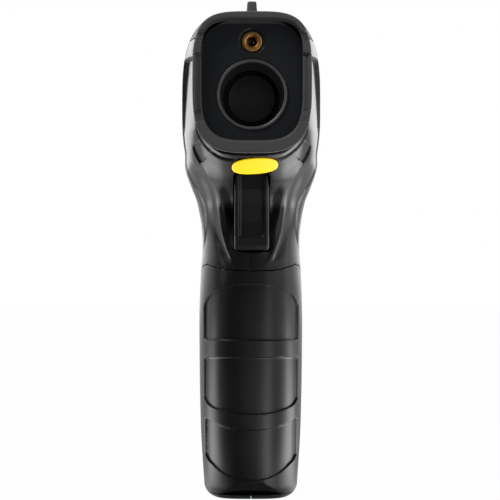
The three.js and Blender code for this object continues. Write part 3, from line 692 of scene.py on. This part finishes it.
ring_profile = [(7.6, -22.3), (7.9, -22.6), (8.8, -22.6), (9.1, -22.4), (9.1, -21.0), (7.6, -21.0)]
anodised = Finish("black_anodised_ring")
turning = anodised.noise(300, 2, stretch=(1, 14, 1))
ring_finish = anodised.surface(
    Base_Color=anodised.blend(turning, (0.010, 0.010, 0.011), (0.022, 0.022, 0.024)),
    Roughness=0.24 + 0.14 * turning, Metallic=0.6)
ring = turned("lens_ring_turned", ring_profile, OPTICS_Z)
paint(ring, ring_finish)
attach(ring, "housing")
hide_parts("lens_ring")

lens_profile = [(0, -20.82)]
for i in range(1, 13):
    radius = 0.75 * i
    lens_profile.append((radius, -20.82 + 0.78 * (radius / 9) ** 2))
lens_profile += [(9.0, -18.9), (6, -18.7), (3, -18.55), (0, -18.5)]
coated = Finish("coated_lens")
bloom = coated.noise(120, 3)
coated_lens = coated.surface(
    Base_Color=coated.blend(bloom, (0.020, 0.020, 0.021), (0.026, 0.025, 0.025)),
    # Painted light: the lens glows faintly, standing in for light that bounces onto it deep in the tube.
    Emission_Color=coated.blend(bloom, (0.0034, 0.0034, 0.0035), (0.0044, 0.0043, 0.0043)),
    Emission_Strength=1.0,
    Roughness=0.12 + 0.08 * bloom, IOR=1.6)
lens = turned("infrared_lens_disc", lens_profile, OPTICS_Z)
paint(lens, coated_lens)
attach(lens, "housing")
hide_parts("infrared_lens")

# ------------------------------------------------------------------ aiming laser
# A turned brass barrel with its face chamfered and a small lens deep in its bore.
# It sits in the countersunk hole of the panel and is gripped by a block behind.
laser_profile = [
    (1.42, -43.1), (1.6, -43.5), (1.95, -43.78), (2.2, -43.9), (2.95, -43.9), (3.14, -43.82),
    (3.2, -43.6), (3.2, -26.9), (0, -26.9), (0, -37.9), (1.42, -37.9),
]
brass = Finish("turned_brass")
lathe_marks = brass.noise(260, 3, stretch=(1, 20, 1))
tarnish = brass.noise(220, 4)
brass_finish = brass.surface(
    Base_Color=brass.blend(tarnish, (0.42, 0.22, 0.065), (0.66, 0.37, 0.13)),
    Metallic=1.0, Roughness=0.32 + 0.2 * tarnish,
    Normal=brass.bump(lathe_marks, 0.2, 0.00005))
barrel = turned("laser_module_barrel", laser_profile, LASER_Z)
paint(barrel, brass_finish)
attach(barrel, "housing")
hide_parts("laser_module")

tiny_lens_profile = [(0, -41.3), (0.4, -41.27), (0.8, -41.18), (1.2, -41.0), (1.2, -40.1), (0, -40.1)]
glassy = Finish("laser_lens_glass")
speck = glassy.noise(900, 2)
laser_glass = glassy.surface(
    Base_Color=glassy.blend(speck, (0.012, 0.010, 0.008), (0.020, 0.016, 0.012)),
    Roughness=0.05 + 0.05 * speck, IOR=1.52)
tiny_lens = turned("laser_lens_bead", tiny_lens_profile, LASER_Z)
paint(tiny_lens, laser_glass)
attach(tiny_lens, "housing")
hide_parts("laser_lens")

# ------------------------------------------------------------------ top cover
# A grained grey cover set into the top of both shells, with the sight post moulded on it.
# The post is tapered and has a ramp behind it.
COVER_OUTLINE = [(-60, 149.4), (-24, 150.4), (30, 152.6), (33, 156), (33, 175), (-60, 175)]


def top_cover(x, y, z):
    """Skin over the top of the shells, with the tapered post on it."""
    form = body(x, y, z)
    plan = polygon(COVER_OUTLINE, y, z)
    skin = common(form, plan, 0.35)
    skin = np.maximum(skin, -(form + 1.5))
    skin = common(skin, -46.5 - y, 0.3)
    lift = z - 158.0
    half = 1.78 - 0.09 * lift
    post = common(np.abs(x) - half, lift - 4.15 + 0.03 * (y + 37) ** 2 * (y > -37), 0.6)
    post = common(post, -38.4 + 0.14 * lift - y, 0.7)
    post = common(post, y + 27 + 1.6 * lift, 0.8)
    post = np.maximum(post, 157.5 - z)
    return joined(skin, post, 0.5)


cover = moulded("top_cover_moulding", top_cover, (-21.6, -47.1, 148.2), (21.6, 34, 163.2),
                0.42)
paint(cover, trim_grey)
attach(cover, "housing")
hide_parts("top_cover")

# ------------------------------------------------------------------ lens label
# A thin oval of printed yellow film, cut out with a die and left without lettering.
# It is stuck on the shells under the lens, across their joint line.
LABEL_CENTRE = (0.9, 109.55)
LABEL_HALF = (7.3, 2.3)
LABEL_SQUARENESS = 2.5
LABEL_SLANT = 0.06


def label_film():
    """Oval grid laid on the shells, thickened outwards."""
    rings = 10
    spokes = 64
    plan = [(0.0, 0.0)]
    for i in range(1, rings + 1):
        for j in range(spokes):
            angle = 2 * math.pi * j / spokes
            c = math.cos(angle)
            s = math.sin(angle)
            power = LABEL_SQUARENESS
            reach = i / rings / (abs(c) ** power + abs(s) ** power) ** (1 / power)
            plan.append((reach * c, reach * s))
    plan = np.array(plan)
    x = LABEL_CENTRE[0] + LABEL_HALF[0] * plan[:, 0]
    z = LABEL_CENTRE[1] + LABEL_HALF[1] * plan[:, 1] + LABEL_SLANT * (x - LABEL_CENTRE[0])
    front = np.full(len(x), -54.0)
    back = np.full(len(x), -26.0)
    for _ in range(30):
        middle = (front + back) / 2
        outside = body(x, middle, z) > 0.1
        front = np.where(outside, middle, front)
        back = np.where(outside, back, middle)
    points = np.stack([x, front, z], axis=1)
    faces = [[0, 1 + j, 1 + (j + 1) % spokes] for j in range(spokes)]
    for i in range(rings - 1):
        for j in range(spokes):
            a = 1 + i * spokes
            b = a + spokes
            k = (j + 1) % spokes
            faces.append([a + j, b + j, b + k, a + k])
    piece = new_piece("lens_label_film", points, faces)
    thick = piece.modifiers.new("thickness", "SOLIDIFY")
    thick.thickness = 0.18 * MM
    thick.offset = 1
    return piece


label_piece = label_film()
film = Finish("yellow_film")
print_tone = film.noise(180, 3)
label_yellow = film.surface(
    Base_Color=film.blend(print_tone, (0.95, 0.60, 0.006), (1.0, 0.66, 0.012)),
    # Painted light: the film also glows yellow, so it reads brighter than the lamps alone make it.
    Emission_Color=film.blend(print_tone, (1.0, 0.62, 0.004), (1.0, 0.68, 0.006)),
    Emission_Strength=0.55,
    Roughness=0.34 + 0.1 * print_tone, IOR=1.45)
paint(label_piece, label_yellow)
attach(label_piece, "housing")
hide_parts("lens_label")

# ------------------------------------------------------------------ trigger
# A black moulded trigger with a raised rail down each side of its face and a lip at its foot.
# It turns on a steel pin and is pushed forward by a coil spring.
TRIGGER_SIDE = [
    (-31.2, 109.4), (-32.4, 106.6), (-31.2, 102.4), (-29, 97.4), (-27.2, 92), (-26.4, 87.4),
    (-26.9, 84.6), (-26.2, 83), (-23.6, 82.9), (-20.6, 84), (-18.6, 88), (-17.6, 94), (-17.4, 104),
    (-18.6, 109.6), (-21.4, 111.5), (-27, 111.5),
]
TRIGGER_FACE = np.array([
    (82, -26.6), (86.8, -26.5), (92, -27.3), (97.4, -29.1), (102.4, -31.3), (110, -32.6),
])
TRIGGER_PIVOT = (-23.5, 108.2)
PIVOT_BORE = 1.31


def trigger(x, y, z):
    """Curved lever with a channel down its face, hollow behind, and the nib that works the switch."""
    side = polygon(TRIGGER_SIDE, y, z)
    shape = common(side, rounded_plate(x, z - 97, 5.6, 16, 2.2), 0.8)
    face = np.interp(z, TRIGGER_FACE[:, 0], TRIGGER_FACE[:, 1])
    channel = common(np.abs(x) - 3.9, 87.1 - z, 0.9)
    channel = common(channel, y - face - 1.25, 0.6)
    shape = cut(shape, channel, 0.5)
    from_pivot = np.hypot(y - TRIGGER_PIVOT[0], z - TRIGGER_PIVOT[1])
    shape = np.maximum(shape, PIVOT_BORE - from_pivot)
    back = block(x, y, z, (-3.4, -22.4, 84), (3.4, -10, 100))
    shape = np.maximum(shape, -back)
    nib = block(x, y, z, (-1.6, -18, 101.2), (1.6, -15, 104.2))
    return np.minimum(shape, nib)


trigger_piece = moulded("trigger_moulding", trigger, (-6.2, -33, 82.2), (6.2, -14.4, 112.2),
                        0.3)
trigger_black = polished_abs("trigger_abs", (0.0070, 0.0070, 0.0073), 0.24)
paint(trigger_piece, trigger_black)
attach(trigger_piece, "trigger")
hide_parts("trigger")

# ------------------------------------------------------------------ battery door
# The front half of the grip, one moulding that swings down on a pin in the base.
# Three shallow panels are sunk into its face, the lower ones with curved ends.
DOOR_STEP = 0.36
DOOR_OUTLINE = [
    (-60, 1.8), (6.2, 1.8), (7.6, 5.6), (5.6, 40), (5.6, 73.4), (0.4, 75), (-5.4, 77.4),
    (-10, 78), (-13.6, 77.2), (-17.2, 75.9), (-60, 75.9),
]
PANEL_EDGE = 0.25
PANEL_DEPTH = 0.75
FOOT_RADIUS = 4.4
PIN_BORE = 0.96


def arc(x, middle, ends, reach):
    """Height of a shallow arc through its middle and its two ends."""
    return middle + (ends - middle) * (np.abs(x) / reach) ** 2.3


def door(x, y, z):
    """Skin with its three sunk panels, and the foot and knuckle that turn on the pin."""
    form = body(x, y, z)
    sunk = 0
    sheets = [
        (arc(x, 71.6, 67.4, 15.4), 53.2 + 0 * x, 15.3, 3.2, 0.6),
        (47.5 + 0 * x, arc(x, 28.6, 31.9, 15.4), 15.3, 0.7, 2.2),
        (arc(x, 23.3, 27.0, 15.2), arc(x, 6.5, 13.4, 14.8), 15.0, 0.4, 1.2),
    ]
    for top, bottom, reach, top_round, bottom_round in sheets:
        corner = np.where(2 * z > top + bottom, top_round, bottom_round)
        outside = common(np.maximum(z - top, bottom - z), np.abs(x) - reach, corner)
        edge = PANEL_EDGE + 0.35 * ramp(np.abs(x), reach - 1.5, reach)
        sunk = sunk + PANEL_DEPTH * ramp(-outside, -edge, edge)
    face = ramp(y, 6, 3)
    outer = form + sunk * face
    skin = np.maximum(outer, -(form + WALL))
    skin = common(skin, polygon(DOOR_OUTLINE, y, z), 0.2)
    from_hinge = np.hypot(y - HINGE[0], z - HINGE[1])
    low_front = np.maximum(y - HINGE[0], z - HINGE[1])
    skin = np.maximum(skin, -np.maximum(low_front, FOOT_RADIUS - from_hinge))
    foot = np.maximum(from_hinge - FOOT_RADIUS, 2.0 - from_hinge)
    foot = np.maximum(np.maximum(foot, low_front), form)
    arm = block(0 * x, y, z, (-1, -4.4, 4.6), (1, -0.9, 7.8))
    knuckle = np.maximum(np.minimum(from_hinge - 2.4, arm), np.abs(x) - 2.9)
    door_body = np.minimum(np.minimum(skin, foot), knuckle)
    return np.maximum(door_body, np.minimum(PIN_BORE - from_hinge, 8 - np.abs(x)))


door_piece = moulded("battery_door_moulding", door, (-17.8, -18, 1.2), (17.8, 8.4, 78.6), DOOR_STEP)
paint(door_piece, polished_abs("door_abs", (0.0026, 0.0026, 0.0028), 0.28))
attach(door_piece, "battery_door")
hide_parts("battery_door")

# ------------------------------------------------------------------ rear bezel, display and keys
# A grained frame set into the sloping rear face holds a smoked window over the LCD.
# Three soft keys stand through it below the window.
WINDOW_V = 7.2
KEY_V = -12.6
KEY_U = (-10.4, 0.0, 10.4)
KEY_BODIES = ("laser_button", "mode_button", "unit_button")
SCREEN_HALF = (11.8, 8.2)
EDGE_SHARPNESS = 4000


def rear_bezel(x, y, z):
    """Frame with a rebate for the window and three holes for the keys."""
    w, v = face_place(y, z)
    plate = common(rounded_plate(x, v, 17.5, 20.5, 3.8), np.abs(w + 0.7) - 1.3, 0.45)
    plate = cut(plate, np.maximum(rounded_plate(x, v - WINDOW_V, 14.8, 11.3, 2.1), -0.8 - w), 0.2)
    plate = np.maximum(plate, -rounded_plate(x, v - WINDOW_V, 13, 9.4, 1.2))
    for u in KEY_U:
        plate = cut(plate, rounded_plate(x - u, v - KEY_V, 4.3, 3.3, 1.7), 0.3)
    return plate


rear = moulded("rear_bezel_moulding", rear_bezel, (-18.2, 33, 116.5), (18.2, 51, 159),
               0.4)
paint(rear, grained_plastic("grained_rear_trim", (0.055, 0.055, 0.057)))
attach(rear, "housing")
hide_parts("rear_bezel")


def display_window(x, y, z):
    """Flat plate over the display."""
    w, v = face_place(y, z)
    return common(rounded_plate(x, v - WINDOW_V, 14.5, 11, 2), np.abs(w + 0.05) - 0.55, 0.2)


window = moulded("display_window_plate", display_window, (-15, 35, 133), (15, 47, 157),
                 0.36)
glaze = Finish("display_acrylic")
across = glaze.along("X")
up = glaze.along("Z")
lit_low = (FACE_POINT[1] + (WINDOW_V - SCREEN_HALF[1]) * math.cos(FACE_TILT)) * MM
lit_high = (FACE_POINT[1] + (WINDOW_V + SCREEN_HALF[1]) * math.cos(FACE_TILT)) * MM
in_width = (SCREEN_HALF[0] * MM - across.maths("ABSOLUTE")) * EDGE_SHARPNESS
above = (up - lit_low) * EDGE_SHARPNESS
below = (lit_high - up) * EDGE_SHARPNESS
screen = in_width.clamped() * above.clamped() * below.clamped()
tone = glaze.noise(150, 3)
screen_green = glaze.blend(tone, (0.085, 0.105, 0.08), (0.10, 0.12, 0.09))
display_finish = glaze.surface(
    Base_Color=glaze.blend(screen, (0.006, 0.0065, 0.007), screen_green),
    Roughness=0.05 + 0.04 * tone, IOR=1.49)
paint(window, display_finish)
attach(window, "housing")
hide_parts("display_window")

soft_key = grained_plastic("soft_key_rubber", (0.045, 0.045, 0.048), 0.6, 0.00009)
for u, body_name in zip(KEY_U, KEY_BODIES):

    def key(x, y, z):
        """Cap with a dished top, on a wider flange that keeps it in."""
        w, v = face_place(y, z)
        du = x - u
        dv = v - KEY_V
        dome = 1.4 - 0.012 * (du ** 2 + dv ** 2)
        cap = common(rounded_plate(du, dv, 4.0, 3.0, 1.5), np.maximum(w - dome, -2.4 - w), 0.5)
        flange = np.maximum(rounded_plate(du, dv, 4.9, 3.9, 1.9), np.abs(w + 2.75) - 0.45)
        dimple = 6.2 - np.sqrt(du ** 2 + dv ** 2 + (w - 7.2) ** 2)
        return np.minimum(np.maximum(cap, dimple), flange)

    key_piece = moulded(body_name + "_cap", key, (u - 5.4, 41, 120), (u + 5.4, 50, 131),
                        0.28)
    paint(key_piece, soft_key)
    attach(key_piece, body_name)
    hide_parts(body_name)

# ------------------------------------------------------------------ battery
# A 9 V block in a printed metal jacket, rolled over at both ends.
# It stands in the grip on the floor rib, leaning with it.
BATTERY_HEIGHT = 46.4
BAND_START = 0.046


def battery(x, y, z):
    """Block with rolled edges and a sunk top."""
    depth, height = battery_place(y, z)
    side = rounded_plate(x, depth, 13.25, 8.75, 2)
    jacket = common(side, np.maximum(-height, height - BATTERY_HEIGHT), 0.7)
    recess = np.maximum(rounded_plate(x, depth, 12.2, 7.7, 1.4), BATTERY_HEIGHT - 0.5 - height)
    return cut(jacket, recess, 0.2)


battery_piece = moulded("battery_block", battery, (-14, -6, 10.8), (14, 22.6, 61.5),
                        0.5)
jacket = Finish("battery_jacket")
band = ((jacket.along("Z") - BAND_START) * 3000).clamped()
wear = jacket.noise(300, 4)
dark_print = jacket.blend(wear, (0.02, 0.02, 0.022), (0.035, 0.035, 0.037))
jacket_finish = jacket.surface(
    Base_Color=jacket.blend(band, dark_print, (0.55, 0.36, 0.12)),
    Metallic=0.55, Roughness=0.3 + 0.18 * wear)
paint(battery_piece, jacket_finish)
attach(battery_piece, "housing")
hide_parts("battery")

# ------------------------------------------------------------------ inner pieces kept from the frame
# Boards, switches, screws, pins, spring and leads keep their own solids.
# Each gets the finish of what it is made of.


def metal(name, tint, roughness, streak):
    """Bright metal with fine drawing or turning marks."""
    finish = Finish(name)
    marks = finish.noise(420, 4, stretch=streak)
    return finish.surface(
        Base_Color=finish.blend(marks, tuple(0.8 * c for c in tint), tint),
        Metallic=1.0, Roughness=roughness + 0.15 * marks,
        Normal=finish.bump(marks, 0.15, 0.00004))


def solder_mask():
    """Green lacquer over copper tracks, with a faint grid of traces."""
    finish = Finish("green_solder_mask")
    tracks = finish.node("ShaderNodeTexVoronoi", {"distance": "MANHATTAN"}, {
        "Vector": finish.place(), "Scale": 620})
    lines = (tracks * 2.2).clamped()
    return finish.surface(
        Base_Color=finish.blend(lines, (0.012, 0.085, 0.030), (0.022, 0.14, 0.05)),
        Roughness=0.3 + 0.12 * lines, Normal=finish.bump(lines, 0.2, 0.00005))


def plain_moulding(name, tint, shade):
    """Small moulded part or cable sleeve, slightly uneven in tone."""
    finish = Finish(name)
    tone = finish.noise(380, 3)
    return finish.surface(
        Base_Color=finish.blend(tone, tuple(0.8 * c for c in tint), tuple(1.2 * c for c in tint)),
        Roughness=shade + 0.15 * tone, Normal=finish.bump(tone, 0.12, 0.00005))


steel = metal("bright_steel", (0.62, 0.63, 0.65), 0.22, (9, 1, 1))
INNER = {
    "circuit_board": solder_mask(),
    "switch_metal": metal("tinned_switch_frame", (0.5, 0.5, 0.52), 0.3, (1, 1, 6)),
    "sensor_metal": metal("nickel_can", (0.60, 0.57, 0.50), 0.22, (1, 9, 1)),
    "steel": steel,
    "black_plastic": plain_moulding("black_moulding", (0.012, 0.012, 0.013), 0.45),
    "white_plastic": plain_moulding("white_light_guide", (0.7, 0.7, 0.66), 0.4),
    "red_plastic": plain_moulding("red_plunger", (0.40, 0.025, 0.018), 0.35),
    "lcd_glass": plain_moulding("lcd_glass", (0.20, 0.23, 0.17), 0.1),
    "lead_red": plain_moulding("red_lead_sleeve", (0.42, 0.02, 0.015), 0.4),
    "lead_black": plain_moulding("black_lead_sleeve", (0.010, 0.010, 0.010), 0.4),
}
for entry in frame["record"]["subparts"]:
    if entry["material_slot"] in INNER:
        paint(frame["nodes"][entry["node"]], INNER[entry["material_slot"]])

# ------------------------------------------------------------------ studio
# A white sweep lit from behind and from the sides, dark on the camera's side.
# A tall strip light stands to the right of the camera and a soft box high on the left.
FLOOR_HALF = 3.0
mesh = bpy.data.meshes.new("floor")
corners = [(-FLOOR_HALF, -FLOOR_HALF, 0), (FLOOR_HALF, -FLOOR_HALF, 0),
           (FLOOR_HALF, FLOOR_HALF, 0), (-FLOOR_HALF, FLOOR_HALF, 0)]
mesh.from_pydata(corners, [], [(0, 1, 2, 3)])
floor = bpy.data.objects.new("floor", mesh)
bpy.context.scene.collection.objects.link(floor)

# Seen by the camera the floor is nearly white. To all else it is a set of cards: pale behind and
# to the right, a streak that runs forward to the right, and a bright patch under each flank.
pale = Finish("pale_floor")
out_x = pale.along("X")
out_y = pale.along("Y")
side = out_x.maths("ABSOLUTE")
right_half = out_x.maths("GREATER_THAN", 0.0)
back = (out_y * 14 + 0.35).clamped()
right = ((out_x + out_y * 0.55) * 30).clamped() * right_half
nearness = (out_y * -1 - 0.010).clamped(0.04, 10.0)
spread = ((out_x / nearness - 0.42).maths("ABSOLUTE") * -4.4 + 1).clamped()
streak = spread * (0.27 / nearness) * (out_y * -60 - 0.75).clamped()
patch = ((side - 0.010) * 17).clamped() * (side * -9 + 2.4).clamped() * ((out_y + 0.035) * 40).clamped()
patch = patch * ((side * 0.42 - out_y + 0.034) * 24).clamped() * (right_half * 1.3 + 5.2)
cards = back.maths("MAXIMUM", right) * 0.5 + 0.03 + streak + patch
card = pale.node("ShaderNodeEmission", sockets={"Color": (1, 1, 1, 1), "Strength": cards})
matt = pale.node("ShaderNodeBsdfDiffuse", sockets={"Color": (0.62, 0.62, 0.62, 1)})
bright = pale.node("ShaderNodeEmission", sockets={"Color": (1, 1, 1, 1), "Strength": 1.0})
veil = pale.node("ShaderNodeMixShader", sockets={0: 0.975, 1: matt, 2: bright})
seen = pale.node("ShaderNodeLightPath")
mixed = pale.node("ShaderNodeMixShader", sockets={0: seen, 1: card, 2: veil})
pale.node("ShaderNodeOutputMaterial", sockets={"Surface": mixed})
floor.data.materials.append(pale.material)

SKY_LEVELS = [(0.0, 0.02), (0.30, 0.03), (0.44, 0.16), (0.55, 0.42), (0.75, 0.62), (0.93, 0.75), (1.0, 1.0)]
world = bpy.data.worlds.new("studio")
bpy.context.scene.world = world
studio = Finish("studio", world)
direction = studio.node("ShaderNodeTexCoord")
backward = studio.node("ShaderNodeSeparateXYZ", sockets={"Vector": direction}, output=1)
sweep = studio.node("ShaderNodeMapRange", sockets={"Value": backward, "From Min": -1})
shade = studio.node("ShaderNodeValToRGB", sockets={"Fac": sweep})
levels = shade.socket.node.color_ramp
levels.interpolation = "EASE"
while len(levels.elements) < len(SKY_LEVELS):
    levels.elements.new(0.5)
for element, (position, level) in zip(levels.elements, SKY_LEVELS):
    element.position = position
    element.color = (level, level, level, 1)
dim = studio.node("ShaderNodeBackground", sockets={"Color": shade, "Strength": 2.6})
backdrop = studio.node("ShaderNodeBackground", sockets={"Color": (1, 1, 1, 1)})
camera_ray = studio.node("ShaderNodeLightPath")
choose = studio.node("ShaderNodeMixShader", sockets={0: camera_ray, 1: dim, 2: backdrop})
studio.node("ShaderNodeOutputWorld", sockets={"Surface": choose})


def softbox(name, place, target, width, height, radiance):
    """Rectangular light at a place, aimed at a target, with its brightness as seen from the front."""
    light = bpy.data.lights.new(name, "AREA")
    light.shape = "RECTANGLE"
    light.size = width
    light.size_y = height
    light.energy = radiance * math.pi * width * height
    lamp = bpy.data.objects.new(name, light)
    lamp.location = place
    lamp.rotation_euler = (Vector(target) - Vector(place)).to_track_quat("-Z", "Y").to_euler()
    lamp.visible_camera = False
    bpy.context.scene.collection.objects.link(lamp)


middle = (0, 0, 0.09)
softbox("key_upper_left", (-0.60, -0.42, 0.80), middle, 0.55, 0.55, 6)
softbox("low_left", (-0.62, -0.50, 0.09), middle, 0.16, 0.16, 3.0)
softbox("fill_right", (0.55, -0.50, 0.22), middle, 0.45, 0.42, 0.9)
softbox("strip_right", (0.22, -0.62, 0.14), middle, 0.07, 0.26, 2.4)
softbox("side_right", (0.75, -0.10, 0.12), middle, 0.3, 0.22, 1.6)

# The camera looks level along +Y from the front, at the height of the grip's top.
camera_data = bpy.data.cameras.new("camera")
camera_data.sensor_width = 36
camera_data.lens = 183.6
CAMERA_TURN = math.radians(-0.43)
camera = bpy.data.objects.new("camera", camera_data)
camera.location = (-0.0067, -0.850, 0.0829)
camera.rotation_euler = (math.pi / 2, 0, CAMERA_TURN)
bpy.context.scene.collection.objects.link(camera)
bpy.context.scene.camera = camera
bpy.context.scene.view_settings.view_transform = "Standard"
